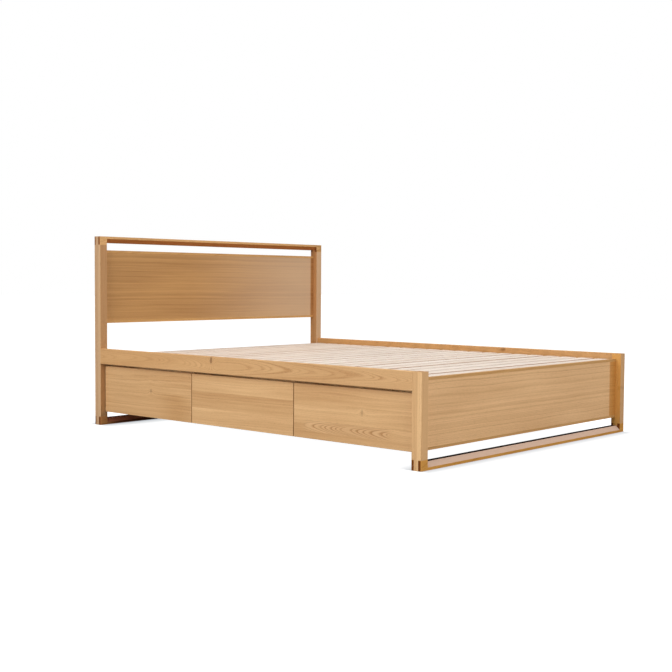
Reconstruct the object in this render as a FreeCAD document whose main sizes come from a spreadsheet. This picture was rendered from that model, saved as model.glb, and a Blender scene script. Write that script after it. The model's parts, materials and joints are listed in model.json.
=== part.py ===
# Platform bed with storage drawers, for a 1600 x 2000 mm mattress. Millimetres.
#
# Frame: X runs across the bed, Y along it from the foot (-Y) to the head (+Y), Z is up.
# The origin is on the floor, under the middle of the bed. "Left" is the -X side.
#
# The two ends are glued frames: posts, cross rails with open bridle joints at the corners,
# and veneered panels with solid lippings. Two side rails hook into the posts. Inside, four
# partitions halved over a centre spine carry hardwood runners, and three drawers a side
# hang on them. The left half is modelled; the right half is its mirror image.
import FreeCAD, Part
import os

doc = FreeCAD.newDocument("storage_bed")

# --------------------------------------------------------------------------------------
# Driving dimensions
# --------------------------------------------------------------------------------------
sheet = doc.addObject("Spreadsheet::Sheet", "dims")
DIMENSIONS = [
    # overall
    ("bed_width", 1660, "across the posts"),
    ("bed_length", 2100, "over both ends"),
    ("head_height", 960, "top of the headboard"),
    ("side_height", 390, "top of side rails and foot posts"),
    # end frames
    ("post_width", 43, "post, across the bed"),
    ("post_depth", 48, "post, along the bed"),
    ("joint_height", 43, "cross rail where it passes a post"),
    ("cheek_front", 14, "bridle joint, outer cheek"),
    ("tongue_thick", 22, "bridle joint, tongue of the post"),
    ("relief_height", 32, "cross rail between the posts"),
    ("relief_face", 12, "flat left on its front face under the chamfer"),
    ("chamfer_stop", 2, "length over which the chamfer runs out at a post"),
    ("post_round", 5, "rounding of the outer corners"),
    ("panel_thick", 21, "end panels"),
    ("panel_low", 73, "underside of the lower panels"),
    ("panel_high", 363, "top of the foot panel"),
    ("head_panel_high", 350, "top of the lower head panel, hidden behind the slats"),
    ("upper_low", 518, "underside of the headboard panel"),
    ("upper_high", 891, "top of the headboard panel"),
    ("lip_thick", 12, "solid lipping on a panel edge"),
    ("dowel_dia", 8, "panel dowels"),
    ("dowel_long", 44, "panel dowels"),
    ("glue_gap", 0.1, "round a dowel or a screw"),
    # sides
    ("rail_thick", 28, "side rail"),
    ("rail_tall", 78, "side rail"),
    ("rail_chamfer", 3, "lower outer edge of the side rail"),
    ("ledger_thick", 23, "batten that carries the slats"),
    ("ledger_tall", 24, "batten that carries the slats"),
    ("plate_wide", 16, "hook and catch plates"),
    ("plate_tall", 56, "hook and catch plates"),
    ("plate_thick", 2.5, "hook and catch plates"),
    ("hook_thick", 3, "hooks on the rail's plate"),
    ("hook_tall", 14, "hooks on the rail's plate"),
    ("hook_reach", 9, "how far the hooks stand out of the plate"),
    ("hook_room", 1, "play round the hooks"),
    # slats
    ("slat_count", 21, "slats"),
    ("slat_top", 360, "surface that the mattress lies on"),
    ("slat_thick", 18, "slat"),
    ("slat_width", 70, "slat"),
    ("slat_foot_gap", 19, "from the foot panel to the first slat"),
    ("slat_head_gap", 3, "from the last slat to the head posts"),
    ("slat_end_gap", 2, "from a slat's end to the side rail"),
    ("screw_dia", 4, "slat screws"),
    ("screw_head", 8, "slat screws, countersunk head"),
    ("screw_long", 35, "slat screws"),
    # carcass
    ("board_thick", 18, "partitions"),
    ("board_low", 85, "underside of partitions and spine"),
    ("spine_thick", 28, "centre spine"),
    ("halving_gap", 0.2, "play in the cross halvings"),
    ("leg_side", 43, "centre legs, square"),
    # drawers
    ("bay_count", 3, "drawers along each side"),
    ("front_low", 67, "underside of the drawer fronts"),
    ("finger_gap", 11, "from a drawer front up to the side rail"),
    ("front_thick", 22, "drawer front"),
    ("front_gap", 4, "between two fronts, and beside the posts"),
    ("closed_gap", 1, "from a closed front to the partitions"),
    ("box_deep", 640, "drawer box, front to back"),
    ("box_low", 80, "underside of the drawer sides"),
    ("box_high", 283, "top of the drawer sides"),
    ("box_gap", 3, "from a drawer side to the partition"),
    ("side_thick", 15, "drawer sides and back"),
    ("base_thick", 9, "drawer bottom"),
    ("base_rise", 12, "drawer bottom above the sides' lower edge"),
    ("base_groove", 6, "depth of the groove for the bottom"),
    ("base_room", 0.2, "play of the bottom in its groove"),
    ("runner_tall", 20, "runner"),
    ("runner_low", 170, "underside of the runners"),
    ("runner_groove", 7, "depth of the groove that rides on the runner"),
    ("runner_room", 0.5, "play of a runner in its groove"),
    ("runner_setback", 8, "from the partition's front edge to the runner"),
    ("runner_long", 610, "runner"),
    ("grip_bevel", 8, "on the back of a front's top edge, for the fingers"),
    # edges
    ("ease", 1.5, "rounding of exposed long edges"),
]
for row, (alias, value, note) in enumerate(DIMENSIONS, start=1):
    sheet.set("A%d" % row, alias)
    sheet.set("B%d" % row, str(value))
    sheet.set("C%d" % row, note)
    sheet.setAlias("B%d" % row, alias)

# Places worked out from the driving dimensions, each a formula in the same sheet.
FORMULAS = [
    ("half_width", "bed_width / 2"),
    ("half_length", "bed_length / 2"),
    ("inner_x", "half_width - post_width"),
    ("inner_y", "half_length - post_depth"),
    ("rail_x", "half_width - rail_thick"),
    ("rail_low", "side_height - rail_tall"),
    ("cheek_back", "post_depth - cheek_front - tongue_thick"),
    ("chamfer_leg", "relief_height - relief_face"),
    ("ledger_high", "slat_top - slat_thick"),
    ("ledger_low", "ledger_high - ledger_tall"),
    ("board_high", "ledger_high"),
    ("board_x", "rail_x - front_thick - closed_gap"),
    ("front_high", "rail_low - finger_gap"),
    ("front_wide", "(2 * inner_y - (bay_count + 1) * front_gap) / bay_count"),
    ("front_pitch", "front_wide + front_gap"),
    ("bay_wide", "(2 * inner_y - (bay_count + 1) * board_thick) / bay_count"),
    ("bay_pitch", "bay_wide + board_thick"),
    ("box_wide", "bay_wide - 2 * box_gap"),
    ("box_x", "rail_x - front_thick"),
    ("base_low", "box_low + base_rise"),
    ("slat_long", "2 * (rail_x - slat_end_gap)"),
    ("slat_pitch", "(2 * inner_y - slat_foot_gap - slat_head_gap - slat_width) / (slat_count - 1)"),
    ("runner_out", "box_gap + runner_groove - runner_room"),
    ("plate_low", "rail_low + (rail_tall - plate_tall) / 2"),
    ("plate_inset", "(rail_thick - plate_wide) / 2"),
    ("mortise_deep", "hook_reach + hook_room"),
    ("half_high", "(board_low + board_high) / 2"),
    ("spine_end", "half_length - panel_thick"),
]
for row, (alias, formula) in enumerate(FORMULAS, start=len(DIMENSIONS) + 2):
    sheet.set("A%d" % row, alias)
    sheet.set("B%d" % row, "=" + formula)
    sheet.setAlias("B%d" % row, alias)
doc.recompute()

NAMES = [entry[0] for entry in DIMENSIONS] + [entry[0] for entry in FORMULAS]
TOUCHING = 1e-6    # two coordinates closer than this are the same


def bound(formula):
    """The formula with each sheet name written the way an expression needs it."""
    words = []
    for word in str(formula).replace("(", " ( ").replace(")", " ) ").split():
        words.append("dims." + word if word in NAMES else word)
    return " ".join(words)


def value(name):
    return float(sheet.get(name))


PARTS = []


def keep(obj, label):
    """Names a finished sub-part and lists it for export."""
    obj.Label = label
    PARTS.append(obj)
    return obj


def place(obj, x, y, z):
    obj.setExpression("Placement.Base.x", bound(x))
    obj.setExpression("Placement.Base.y", bound(y))
    obj.setExpression("Placement.Base.z", bound(z))


# --------------------------------------------------------------------------------------
# Ways of making a piece
# --------------------------------------------------------------------------------------
def new_body(name):
    return doc.addObject("PartDesign::Body", name + "_body")


def additive_box(body, name, size):
    box = body.newObject("PartDesign::AdditiveBox", name + "_blank")
    for edge, formula in zip(("Length", "Width", "Height"), size):
        box.setExpression(edge, bound(formula))
    return box


def housing(body, name, size, corner):
    """A square-cut pocket: a groove, a slot, a notch or a rebate."""
    cut = body.newObject("PartDesign::SubtractiveBox", name)
    for edge, formula in zip(("Length", "Width", "Height"), size):
        cut.setExpression(edge, bound(formula))
    place(cut, *corner)
    doc.recompute()
    return cut


def dress_edges(body, name, wanted, size, kind="Fillet"):
    """Rounds or bevels the edges of the body's tip for which wanted(start, end) is true."""
    doc.recompute()
    tip = body.Tip
    chosen = []
    for number, edge in enumerate(tip.Shape.Edges, start=1):
        if wanted(edge.Vertexes[0].Point, edge.Vertexes[-1].Point):
            chosen.append("Edge%d" % number)
    dressing = body.newObject("PartDesign::" + kind, "%s_%s" % (name, kind.lower()))
    dressing.Base = (tip, chosen)
    dressing.setExpression("Radius" if kind == "Fillet" else "Size", bound(size))
    doc.recompute()
    return dressing


def along(axis):
    """Edges that run along one axis: 0 is X, 1 is Y, 2 is Z."""
    others = [number for number in range(3) if number != axis]
    return lambda start, end: all(abs(start[n] - end[n]) < TOUCHING for n in others)


def board(label, size, corner, eased=None):
    """A plain board with its long edges eased."""
    body = new_body(label)
    additive_box(body, label, size)
    if eased:
        dress_edges(body, label, eased, "ease")
    place(body, *corner)
    return body


def peg(name, diameter, length, axis, centre):
    """A round peg or a hole's tool, running along X or down Z from its centre point."""
    cylinder = doc.addObject("Part::Cylinder", name)
    cylinder.setExpression("Radius", bound("( %s ) / 2" % diameter))
    cylinder.setExpression("Height", bound(length))
    turn = FreeCAD.Rotation(FreeCAD.Vector(0, 1, 0), 90 if axis == "x" else 0)
    cylinder.Placement = FreeCAD.Placement(FreeCAD.Vector(), turn)
    place(cylinder, *centre)
    return cylinder


def group(name, members):
    compound = doc.addObject("Part::Compound", name)
    compound.Links = members
    return compound


def less(name, base, tool):
    cut = doc.addObject("Part::Cut", name)
    cut.Base = base
    cut.Tool = tool
    cut.Refine = True
    return cut


def mirrored(source, label, across="x"):
    """The same piece on the other side of the bed."""
    mirror = doc.addObject("Part::Mirroring", label + "_mirror")
    mirror.Source = source
    mirror.Normal = FreeCAD.Vector(1, 0, 0) if across == "x" else FreeCAD.Vector(0, 1, 0)
    return mirror


# --------------------------------------------------------------------------------------
# Dowels: three in each end of a lower panel, four in each end of the upper one
# --------------------------------------------------------------------------------------
PANELS = [
    # name, sign of y, underside, top, dowels in each end
    ("foot_panel", -1, "panel_low", "panel_high", 3),
    ("head_lower_panel", 1, "panel_low", "head_panel_high", 3),
    ("head_upper_panel", 1, "upper_low", "upper_high", 4),
]


def end_start(sign):
    """Where an end frame starts, counted along the bed."""
    return "inner_y" if sign > 0 else "half_length * -1"


def panel_middle(sign):
    """Middle of a panel's thickness: its back is flush with the back of the posts."""
    if sign > 0:
        return "half_length - panel_thick / 2"
    return "panel_thick / -2 - inner_y"


def dowels(name, sign, low, high, count, side, oversize):
    pegs = []
    for number in range(count):
        share = (number + 0.5) / count
        height = "%s + ( %s - %s ) * %.4f" % (low, high, low, share)
        start = "%d * inner_x - ( dowel_long + %s ) / 2" % (side, oversize)
        pegs.append(peg("%s_%d" % (name, number), "dowel_dia + " + oversize,
                        "dowel_long + " + oversize, "x",
                        (start, panel_middle(sign), height)))
    return pegs


# --------------------------------------------------------------------------------------
# Posts
# --------------------------------------------------------------------------------------
def corner_sizes(sign):
    """The upright edges at the bed's end are well rounded; those at the side rail only eased,
    so that post and rail meet in a tight line."""
    def at_foot_side(a, b):
        return along(2)(a, b) and max(a.y, b.y) < TOUCHING

    def at_head_side(a, b):
        return along(2)(a, b) and min(a.y, b.y) > value("post_depth") - TOUCHING

    if sign > 0:
        return [("post_round", at_head_side), ("ease", at_foot_side)]
    return [("post_round", at_foot_side), ("ease", at_head_side)]


def post(label, sign, height, joints):
    """A left post. sign is its end of the bed; joints are the heights of its tongues."""
    body = new_body(label)
    additive_box(body, label, ("post_width", "post_depth", height))
    for size, wanted in corner_sizes(sign):
        dress_edges(body, label + "_" + size,
                    lambda a, b: wanted(a, b) and max(a.x, b.x) < TOUCHING, size)
    for number, level in enumerate(joints):
        housing(body, "%s_front_cheek_%d" % (label, number),
                ("post_width", "cheek_front", "joint_height"), ("0", "0", level))
        housing(body, "%s_back_cheek_%d" % (label, number),
                ("post_width", "cheek_back", "joint_height"),
                ("0", "cheek_front + tongue_thick", level))
    # the mortise for the catch plate, in the face that meets the side rail
    mouth = "0" if sign > 0 else "post_depth - mortise_deep"
    housing(body, label + "_mortise", ("plate_wide", "mortise_deep", "plate_tall"),
            ("plate_inset", mouth, "plate_low"))
    place(body, "half_width * -1", end_start(sign), "0")
    return body


def finished_post(label, sign, height, joints):
    holes = []
    for name, end, low, high, count in PANELS:
        if end == sign:
            holes += dowels("%s_hole_%s" % (label, name), end, low, high, count, -1, "glue_gap")
    blank = post(label, sign, height, joints)
    return less(label + "_left_drilled", blank, group(label + "_holes", holes))


foot_post = finished_post("foot_post", -1, "side_height", ["0"])
head_post = finished_post("head_post", 1, "head_height", ["0", "head_height - joint_height"])
keep(foot_post, "foot_post_left")
keep(mirrored(foot_post, "foot_post_right"), "foot_post_right")
keep(head_post, "head_post_left")
keep(mirrored(head_post, "head_post_right"), "head_post_right")


# --------------------------------------------------------------------------------------
# Cross rails of the two ends
# --------------------------------------------------------------------------------------
def cross_rail(label, sign, level, upside_down=False):
    """A rail, full height past the posts and thinner between them, with a long stopped
    chamfer on its front edge. The slot in each end takes the post's tongue."""
    body = new_body(label)
    additive_box(body, label, ("bed_width", "post_depth", "joint_height"))
    for size, wanted in corner_sizes(sign):
        dress_edges(body, label + "_" + size, wanted, size)
    for side, x in (("left", "0"), ("right", "bed_width - post_width")):
        housing(body, "%s_slot_%s" % (label, side),
                ("post_width", "tongue_thick", "joint_height"), (x, "cheek_front", "0"))
    relief = "0" if upside_down else "relief_height"
    housing(body, label + "_relief",
            ("bed_width - 2 * post_width", "post_depth", "joint_height - relief_height"),
            ("post_width", "0", relief))
    # The chamfer's cutter tapers upwards or downwards: along its own Y it runs from the
    # flat of the front face to the relieved surface.
    wedge = body.newObject("PartDesign::SubtractiveWedge", label + "_chamfer")
    near = "post_width + chamfer_stop"
    for field, formula in (
            ("Xmin", near), ("Xmax", "bed_width - post_width - chamfer_stop"),
            ("X2min", "post_width"), ("X2max", "bed_width - post_width"),
            ("Ymin", "0"), ("Ymax", "chamfer_leg"),
            ("Zmin", "chamfer_leg * -1" if upside_down else "0"),
            ("Zmax", "0" if upside_down else "chamfer_leg"),
            ("Z2min", "chamfer_leg * -1"), ("Z2max", "chamfer_leg")):
        wedge.setExpression(field, bound(formula))
    quarter = FreeCAD.Rotation(FreeCAD.Vector(1, 0, 0), -90 if upside_down else 90)
    wedge.Placement = FreeCAD.Placement(FreeCAD.Vector(), quarter)
    doc.recompute()
    if upside_down:
        place(wedge, "0", "0", "joint_height - relief_face")
    else:
        place(wedge, "0", "0", "relief_face")
    doc.recompute()
    place(body, "half_width * -1", end_start(sign), level)
    return body


keep(cross_rail("foot_floor_rail", -1, "0"), "foot_floor_rail")
keep(cross_rail("head_floor_rail", 1, "0"), "head_floor_rail")
keep(cross_rail("head_top_rail", 1, "head_height - joint_height", upside_down=True),
     "head_top_rail")


# --------------------------------------------------------------------------------------
# End panels: a veneered core between two solid lippings
# --------------------------------------------------------------------------------------
all_dowels = []
for name, sign, low, high, count in PANELS:
    start = panel_middle(sign) + " - panel_thick / 2"
    core = board(name + "_core", ("2 * inner_x", "panel_thick", "%s - %s - 2 * lip_thick" % (high, low)),
                 ("inner_x * -1", start, low + " + lip_thick"))
    holes = []
    for side in (-1, 1):
        holes += dowels("%s_hole_%d" % (name, side), sign, low, high, count, side, "glue_gap")
        all_dowels += dowels("%s_dowel_%d" % (name, side), sign, low, high, count, side, "0")
    keep(less(name + "_drilled", core, group(name + "_holes", holes)), name)
    lippings = []
    for level in (low, high + " - lip_thick"):
        lippings.append(board("%s_lipping_%d" % (name, len(lippings)),
                              ("2 * inner_x", "panel_thick", "lip_thick"),
                              ("inner_x * -1", start, level)))
    keep(group(name + "_lipping_pair", lippings), name + "_lippings")
keep(group("dowels", all_dowels), "panel_dowels")


# --------------------------------------------------------------------------------------
# Side rails, with their hook plates and the catch plates in the posts
# --------------------------------------------------------------------------------------
def lower_outer(a, b):
    return along(1)(a, b) and max(a.x, b.x) < TOUCHING and max(a.z, b.z) < TOUCHING


def upper_edges(a, b):
    return along(1)(a, b) and min(a.z, b.z) > value("rail_tall") / 2


rail = new_body("side_rail")
additive_box(rail, "side_rail", ("rail_thick", "2 * inner_y", "rail_tall"))
dress_edges(rail, "side_rail_top", upper_edges, "ease")
dress_edges(rail, "side_rail_low", lower_outer, "rail_chamfer", kind="Chamfer")
for name, y in (("foot", "0"), ("head", "2 * inner_y - plate_thick")):
    housing(rail, "side_rail_recess_" + name, ("plate_wide", "plate_thick", "plate_tall"),
            ("plate_inset", y, "plate_low - rail_low"))
place(rail, "half_width * -1", "inner_y * -1", "rail_low")
keep(rail, "side_rail_left")
keep(mirrored(rail, "side_rail_right"), "side_rail_right")


HOOK_PLACES = (0.12, 0.56)    # the two hooks' lower ends, as shares of the plate's height


def hook_plate(name):
    """The plate let into the head end of the left rail. Its two hooks drop behind the
    catch plate in the post."""
    body = new_body(name)
    additive_box(body, name, ("plate_wide", "plate_thick", "plate_tall"))
    across = "( plate_wide - hook_thick ) / 2"
    for number, share in enumerate(HOOK_PLACES):
        level = "plate_tall * %.2f" % share
        hook = additive_box(body, "%s_hook_%d" % (name, number),
                            ("hook_thick", "plate_thick + hook_reach", "hook_tall"))
        place(hook, across, "0", level)
        housing(body, "%s_notch_%d" % (name, number),
                ("hook_thick", "plate_thick + glue_gap", "hook_tall / 2"),
                (across, "plate_thick", level))
    place(body, "plate_inset - half_width", "inner_y - plate_thick", "plate_low")
    return body


def catch_plate(name):
    body = new_body(name)
    additive_box(body, name, ("plate_wide", "plate_thick", "plate_tall"))
    wide = "hook_thick + 2 * hook_room"
    for number, share in enumerate(HOOK_PLACES):
        level = "plate_tall * %.2f + hook_tall / 2" % share
        housing(body, "%s_slot_%d" % (name, number),
                (wide, "plate_thick", "hook_tall + hook_room"),
                ("plate_wide / 2 - hook_thick / 2 - hook_room", "0", level))
    place(body, "plate_inset - half_width", "inner_y", "plate_low")
    return body


def four_corners(name, piece):
    """The piece and its mirror images at the four corners of the bed."""
    along_bed = mirrored(piece, name + "_foot", across="y")
    return group(name, [piece, along_bed, mirrored(piece, name + "_head_right"),
                        mirrored(along_bed, name + "_foot_right")])


keep(four_corners("hook_plates", hook_plate("hook_plate")), "rail_hook_plates")
keep(four_corners("catch_plates", catch_plate("catch_plate")), "post_catch_plates")


# --------------------------------------------------------------------------------------
# Slats, the ledgers they lie on, and their screws
# --------------------------------------------------------------------------------------
slats = []
screws = []
slat_holes = []
screw_x = "rail_x - ledger_thick / 2"


def countersunk(name, x, y, oversize):
    """A countersunk screw, or the tool for its hole."""
    shank = peg(name + "_shank", "screw_dia + " + oversize, "screw_long + " + oversize, "z",
                (x, y, "slat_top - screw_long - %s" % oversize))
    head = doc.addObject("Part::Cone", name + "_head")
    head.setExpression("Radius1", bound("( screw_dia + %s ) / 2" % oversize))
    head.setExpression("Radius2", bound("( screw_head + %s ) / 2" % oversize))
    head.setExpression("Height", bound("( screw_head - screw_dia ) / 2"))
    place(head, x, y, "slat_top - ( screw_head - screw_dia ) / 2")
    both = doc.addObject("Part::MultiFuse", name)
    both.Shapes = [shank, head]
    return both


for number in range(int(value("slat_count"))):
    low_edge = "slat_foot_gap - inner_y + slat_pitch * %d" % number
    slats.append(board("slat_%d" % number, ("slat_long", "slat_width", "slat_thick"),
                       ("slat_long / -2", low_edge, "ledger_high"), along(0)))
    middle = low_edge + " + slat_width / 2"
    for side, sign in (("left", "-1"), ("right", "1")):
        spot = "( %s ) * %s" % (screw_x, sign)
        screws.append(countersunk("screw_%s_%d" % (side, number), spot, middle, "0"))
        slat_holes.append(countersunk("hole_%s_%d" % (side, number), spot, middle, "glue_gap"))
holes = group("slat_holes", slat_holes)
keep(less("slats_drilled", group("slat_set", slats), holes), "slats")
keep(group("screw_set", screws), "slat_screws")
ledger = board("ledger", ("ledger_thick", "2 * inner_y", "ledger_tall"),
               ("rail_x * -1", "inner_y * -1", "ledger_low"))
drilled_ledger = less("ledger_drilled", ledger, holes)
keep(drilled_ledger, "slat_ledger_left")
keep(mirrored(drilled_ledger, "slat_ledger_right"), "slat_ledger_right")


# --------------------------------------------------------------------------------------
# Carcass: partitions halved over a centre spine that stands on two legs
# --------------------------------------------------------------------------------------
BAY_COUNT = int(value("bay_count"))


def partition_middle(number):
    """Middle of a partition's thickness; number 0 stands at the foot."""
    return "bay_pitch * ( %d - bay_count / 2 )" % number


def bay_offset(number, pitch):
    """Middle of a drawer bay, or of its front, along the bed."""
    return "%s * ( %d - ( bay_count - 1 ) / 2 )" % (pitch, number)


for number in range(BAY_COUNT + 1):
    name = "partition_%d" % (number + 1)
    body = new_body(name)
    additive_box(body, name, ("2 * board_x", "board_thick", "board_high - board_low"))
    housing(body, name + "_halving",
            ("spine_thick + halving_gap", "board_thick", "board_high - half_high"),
            ("board_x - ( spine_thick + halving_gap ) / 2", "0", "half_high - board_low"))
    place(body, "board_x * -1", partition_middle(number) + " - board_thick / 2", "board_low")
    keep(body, name)

spine = new_body("spine")
additive_box(spine, "spine", ("spine_thick", "inner_y + spine_end", "board_high - board_low"))
for number in range(BAY_COUNT + 1):
    housing(spine, "spine_halving_%d" % number,
            ("spine_thick", "board_thick + halving_gap", "half_high - board_low"),
            ("0", "inner_y + %s - ( board_thick + halving_gap ) / 2" % partition_middle(number), "0"))
place(spine, "spine_thick / -2", "inner_y * -1", "board_low")
keep(spine, "centre_spine")
for number, name in ((1, "centre_leg_foot"), (BAY_COUNT - 1, "centre_leg_head")):
    keep(board(name, ("leg_side", "leg_side", "board_low"),
               ("leg_side / -2", partition_middle(number) + " - leg_side / 2", "0"), along(2)), name)

runners = []
for number in range(BAY_COUNT):
    middle = bay_offset(number, "bay_pitch")
    for edge, start in (("low", middle + " - bay_wide / 2"),
                        ("high", middle + " + bay_wide / 2 - runner_out")):
        runner = board("runner_%d_%s" % (number, edge), ("runner_long", "runner_out", "runner_tall"),
                       ("runner_setback - board_x", start, "runner_low"))
        runners.append(runner)
        runners.append(mirrored(runner, "runner_%d_%s_right" % (number, edge)))
keep(group("runner_set", runners), "drawer_runners")


# --------------------------------------------------------------------------------------
# Drawers
# --------------------------------------------------------------------------------------
def drawer(bay, number):
    """One left drawer: front, two sides, back and bottom, each in its own place."""
    front_start = bay_offset(number, "front_pitch") + " - front_wide / 2"
    box_start = bay_offset(number, "bay_pitch") + " - box_wide / 2"
    pieces = {}

    front = new_body("front_" + bay)
    additive_box(front, "front_" + bay, ("front_thick", "front_wide", "front_high - front_low"))
    thick, tall = value("front_thick"), value("front_high") - value("front_low")

    def top_back(a, b):
        return min(a.x, b.x) > thick - TOUCHING and min(a.z, b.z) > tall - TOUCHING

    dress_edges(front, "front_" + bay, top_back, "grip_bevel", kind="Chamfer")
    dress_edges(front, "front_" + bay, lambda a, b: max(a.x, b.x) < TOUCHING, "ease")
    inner = "box_wide - 2 * side_thick + 2 * base_groove"
    housing(front, "front_groove_" + bay, ("base_groove", inner, "base_thick + base_room"),
            ("front_thick - base_groove",
             "( %s ) - ( %s ) + side_thick - base_groove" % (box_start, front_start),
             "base_low - front_low"))
    place(front, "rail_x * -1", front_start, "front_low")
    pieces["front"] = front

    for edge, start in (("foot", box_start), ("head", box_start + " + box_wide - side_thick")):
        name = "side_%s_%s" % (edge, bay)
        side = new_body(name)
        additive_box(side, name, ("box_deep", "side_thick", "box_high - box_low"))
        inside, outside = "side_thick - base_groove", "0"
        if edge == "head":
            inside, outside = "0", "side_thick - runner_groove"
        housing(side, name + "_base_groove", ("box_deep", "base_groove", "base_thick + base_room"),
                ("0", inside, "base_rise"))
        housing(side, name + "_runner_groove",
                ("box_deep", "runner_groove", "runner_tall + 2 * runner_room"),
                ("0", outside, "runner_low - runner_room - box_low"))
        place(side, "box_x * -1", start, "box_low")
        pieces[edge + "_side"] = side

    above_base = "base_low + base_thick + base_room"
    pieces["back"] = board("back_" + bay,
                           ("side_thick", "box_wide - 2 * side_thick", "box_high - ( %s )" % above_base),
                           ("box_deep - box_x - side_thick", box_start + " + side_thick", above_base))
    pieces["bottom"] = board("bottom_" + bay,
                             ("box_deep + base_groove - base_room",
                              "box_wide - 2 * side_thick + 2 * ( base_groove - base_room )",
                              "base_thick"),
                             ("base_room - base_groove - box_x",
                              box_start + " + side_thick - base_groove + base_room",
                              "base_low + base_room / 2"))
    return pieces


for number in range(BAY_COUNT):
    bay = str(number + 1)    # counted from the foot
    for kind, piece in drawer(bay, number).items():
        label = "drawer_left_%s_%s" % (bay, kind)
        keep(piece, label)
        twin = label.replace("left", "right")
        keep(mirrored(piece, twin), twin)


# --------------------------------------------------------------------------------------
# Check, then export
# --------------------------------------------------------------------------------------
doc.recompute()
faults = [obj.Name for obj in doc.Objects
          if "Invalid" in obj.State or "Error" in obj.State or not obj.isValid()]
for part in PARTS:
    if part.Shape.isNull() or not part.Shape.isValid() or not part.Shape.Solids:
        faults.append(part.Label)
if faults:
    raise RuntimeError("not built: " + ", ".join(faults))
os.makedirs("parts", exist_ok=True)
for part in PARTS:
    part.Shape.exportStep("parts/%s.step" % part.Label)
    print("%-28s %3d solid(s) %8.1f cm3" % (part.Label, len(part.Shape.Solids),
                                            part.Shape.Volume / 1000))
print(len(PARTS), "sub-parts")
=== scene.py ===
# %% [markdown]
# # A platform bed with storage drawers
# This file dresses a finished oak bed frame. The CAD model gives every board its size and place.
# Here each board gets its timber, the slats and screws get their fine shape, and a plain studio
# is built around the bed. Each step has a short text first, then the code that does it.

# %% Open the frame
import json
import math
import random

import bpy
from mathutils import Matrix, Vector

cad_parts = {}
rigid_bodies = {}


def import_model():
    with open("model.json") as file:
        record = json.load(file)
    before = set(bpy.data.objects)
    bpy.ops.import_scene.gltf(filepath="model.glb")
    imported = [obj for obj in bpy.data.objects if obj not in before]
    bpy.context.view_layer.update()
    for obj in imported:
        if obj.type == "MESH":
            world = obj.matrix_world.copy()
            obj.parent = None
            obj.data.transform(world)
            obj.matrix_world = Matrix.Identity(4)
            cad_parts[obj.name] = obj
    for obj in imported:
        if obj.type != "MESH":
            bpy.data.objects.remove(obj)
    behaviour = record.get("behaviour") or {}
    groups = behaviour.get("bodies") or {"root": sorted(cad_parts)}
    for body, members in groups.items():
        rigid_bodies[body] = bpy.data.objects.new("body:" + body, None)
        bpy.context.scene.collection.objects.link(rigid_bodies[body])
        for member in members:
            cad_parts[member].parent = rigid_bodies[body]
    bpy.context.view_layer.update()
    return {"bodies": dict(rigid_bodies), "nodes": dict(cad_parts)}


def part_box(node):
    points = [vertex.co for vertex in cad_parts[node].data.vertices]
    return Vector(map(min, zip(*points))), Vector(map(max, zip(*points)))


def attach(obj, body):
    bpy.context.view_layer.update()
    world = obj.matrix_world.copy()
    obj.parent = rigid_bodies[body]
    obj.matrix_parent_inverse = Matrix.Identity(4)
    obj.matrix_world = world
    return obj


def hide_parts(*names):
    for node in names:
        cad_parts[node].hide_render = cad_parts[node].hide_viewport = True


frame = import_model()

# %% [markdown]
# ## The viewpoint
# The bed is seen from its foot end, from the left, with the eye a little above the slats. A
# camera could be aimed with a constraint at a target. Here its place, its turn and its tilt are
# given as plain angles, because then the whole view rests on five numbers that can be read.

# %% Camera
EYE = Vector((-4.32765, -3.71966, 0.74159))
TURN, TILT, LEAN = math.radians(41.710), math.radians(2.784), math.radians(0.350)
LENS, SENSOR = 60.723, 36.0

ahead = Vector((math.cos(TURN) * math.cos(TILT), math.sin(TURN) * math.cos(TILT), -math.sin(TILT)))
level = ahead.cross(Vector((0, 0, 1))).normalized()
rise = level.cross(ahead)
side = level * math.cos(LEAN) + rise * math.sin(LEAN)
top = rise * math.cos(LEAN) - level * math.sin(LEAN)

lens = bpy.data.cameras.new("viewpoint")
lens.lens, lens.sensor_width, lens.sensor_fit = LENS, SENSOR, "HORIZONTAL"
lens.clip_start, lens.clip_end = 0.05, 200.0
camera = bpy.data.objects.new("viewpoint", lens)
camera.matrix_world = Matrix.Translation(EYE) @ Matrix((side, top, -ahead)).transposed().to_4x4()
bpy.context.scene.collection.objects.link(camera)
bpy.context.scene.camera = camera
print("eye height", round(EYE.z, 3), "lens", LENS)

# %% [markdown]
# ## Wiring nodes
# A timber finish is a net of small nodes. Written out one link at a time it would be hard to
# read, so these helpers let a sum be written nearly as it would be on paper. A value may be a
# number, a colour or the output of another node.

# %% Wiring helpers
NUMBER, VECTOR, COLOUR = "NodeSocketFloat", "NodeSocketVector", "NodeSocketColor"


def add(tree, kind, inputs=(), **settings):
    """One node with its settings and its inputs; a socket is linked, and a plain value is set."""
    node = tree.nodes.new(kind)
    for name, value in settings.items():
        setattr(node, name, value)
    for socket, value in dict(inputs).items():
        if isinstance(value, bpy.types.NodeSocket):
            tree.links.new(value, node.inputs[socket])
        else:
            node.inputs[socket].default_value = value
    return node


def sum_of(tree, operation, *values):
    """One Math node, and its result."""
    return add(tree, "ShaderNodeMath", dict(enumerate(values)), operation=operation).outputs[0]


def rule(operation):
    """A Math node as a function of its tree and its values."""
    return lambda tree, *values: sum_of(tree, operation, *values)


plus, minus, times, over = rule("ADD"), rule("SUBTRACT"), rule("MULTIPLY"), rule("DIVIDE")
times_plus, power, root, exponent = rule("MULTIPLY_ADD"), rule("POWER"), rule("SQRT"), rule("EXPONENT")
whole, leftover, size_of = rule("FLOOR"), rule("FRACT"), rule("ABSOLUTE")
larger, smaller = rule("MAXIMUM"), rule("MINIMUM")


def vector_sum(tree, operation, *values):
    """One Vector Math node, and its result."""
    return add(tree, "ShaderNodeVectorMath", dict(enumerate(values)), operation=operation).outputs[0]


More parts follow.
